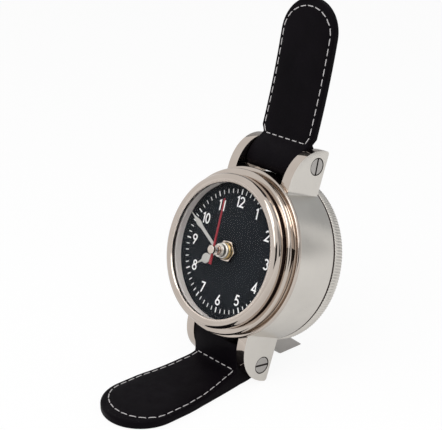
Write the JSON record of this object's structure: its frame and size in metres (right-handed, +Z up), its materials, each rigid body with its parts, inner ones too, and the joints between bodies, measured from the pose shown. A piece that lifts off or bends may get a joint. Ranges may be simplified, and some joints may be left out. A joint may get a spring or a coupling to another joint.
{
  "type": "desk clock",
  "caption": "Desk clock shaped like a giant wristwatch, with a round metal case, domed glass, leather strap halves that prop it and a wedge foot behind.",
  "frame": {"origin": "on the table plane under the middle of the overall box", "axes": "+Z up, clock facing -Y with its head leaning back 20 degrees, +X to the viewer's right"},
  "size_m": [0.11, 0.171, 0.2357],
  "materials": {
    "satin_case": "satin plated",
    "polished_bezel": "polished nickel",
    "glass_lens": "clear polished",
    "glass_gasket": "matt",
    "dial_surround": "matt silver",
    "dial_paint": "matt black",
    "satin_lug": "satin plated",
    "lug_screw": "polished nickel",
    "steel_bar": "turned",
    "strap_leather": "fine grain",
    "movement_plastic": "moulded",
    "brass_fitting": "turned",
    "rubber_washer": "matt",
    "battery_sleeve": "bare sleeve",
    "contact_steel": "sheet",
    "coil_copper": "wound copper",
    "board_resin": "lacquered",
    "wheel_steel": "cut",
    "knob_plastic": "moulded",
    "hand_white": "satin",
    "hand_red": "satin",
    "cap_steel": "polished",
    "polished_cap": "coined edge",
    "rim_gasket": "matt",
    "polished_foot": "polished nickel",
    "foot_screw": "turned"
  },
  "bodies": {
    "case": {"case_drum": "satin_case", "bezel_ring": "polished_bezel", "glass_lens": "glass_lens", "glass_gasket": "glass_gasket", "dial_surround": "dial_surround", "dial_plate": "dial_paint", "lug_upper_left": "satin_lug", "lug_screw_upper_left": "lug_screw", "lug_upper_right": "satin_lug", "lug_screw_upper_right": "lug_screw", "strap_bar_upper": "steel_bar", "strap_upper": "strap_leather", "lug_lower_left": "satin_lug", "lug_screw_lower_left": "lug_screw", "lug_lower_right": "satin_lug", "lug_screw_lower_right": "lug_screw", "strap_bar_lower": "steel_bar", "strap_lower": "strap_leather", "movement_case": "movement_plastic", "movement_cover": "movement_plastic", "threaded_bushing": "brass_fitting", "rubber_washer": "rubber_washer", "brass_washer": "brass_fitting", "hex_nut": "brass_fitting", "battery": "battery_sleeve", "battery_contact_left": "contact_steel", "battery_contact_right": "contact_steel", "coil_bobbin": "coil_copper", "circuit_board": "board_resin", "cap_gasket": "rim_gasket"},
    "hour": {"hour_hand": "hand_white", "hour_wheel": "wheel_steel"},
    "minute": {"minute_hand": "hand_white", "minute_wheel": "wheel_steel"},
    "seconds": {"second_hand": "hand_red", "second_cap": "cap_steel", "second_wheel": "wheel_steel"},
    "setting": {"set_knob": "knob_plastic"},
    "back": {"back_cap": "polished_cap", "rear_foot": "polished_foot", "foot_screw_left": "foot_screw", "foot_screw_right": "foot_screw"}
  },
  "joints": [
    {"name": "minute_spin", "type": "hinge", "parent": "case", "child": "minute", "pos_m": [0, 0.01196, 0.08403], "axis": [0, 0.9397, -0.342], "continuous": true},
    {"name": "hour_spin", "type": "hinge", "parent": "case", "child": "hour", "pos_m": [0, 0.01196, 0.08403], "axis": [0, 0.9397, -0.342], "continuous": true},
    {"name": "second_spin", "type": "hinge", "parent": "case", "child": "seconds", "pos_m": [0, 0.01196, 0.08403], "axis": [0, 0.9397, -0.342], "continuous": true},
    {"name": "set_knob_spin", "type": "hinge", "parent": "case", "child": "setting", "pos_m": [0, 0.01196, 0.08403], "axis": [0, 0.9397, -0.342], "continuous": true},
    {"name": "back_cap_pull", "type": "slide", "parent": "case", "child": "back", "axis": [0, 0.9397, -0.342], "range_m": [0, 0.02]}
  ],
  "couplings": [
    {"joint": "hour_spin", "follows": "minute_spin", "ratio": 0.083333},
    {"joint": "set_knob_spin", "follows": "minute_spin", "ratio": 1}
  ]
}
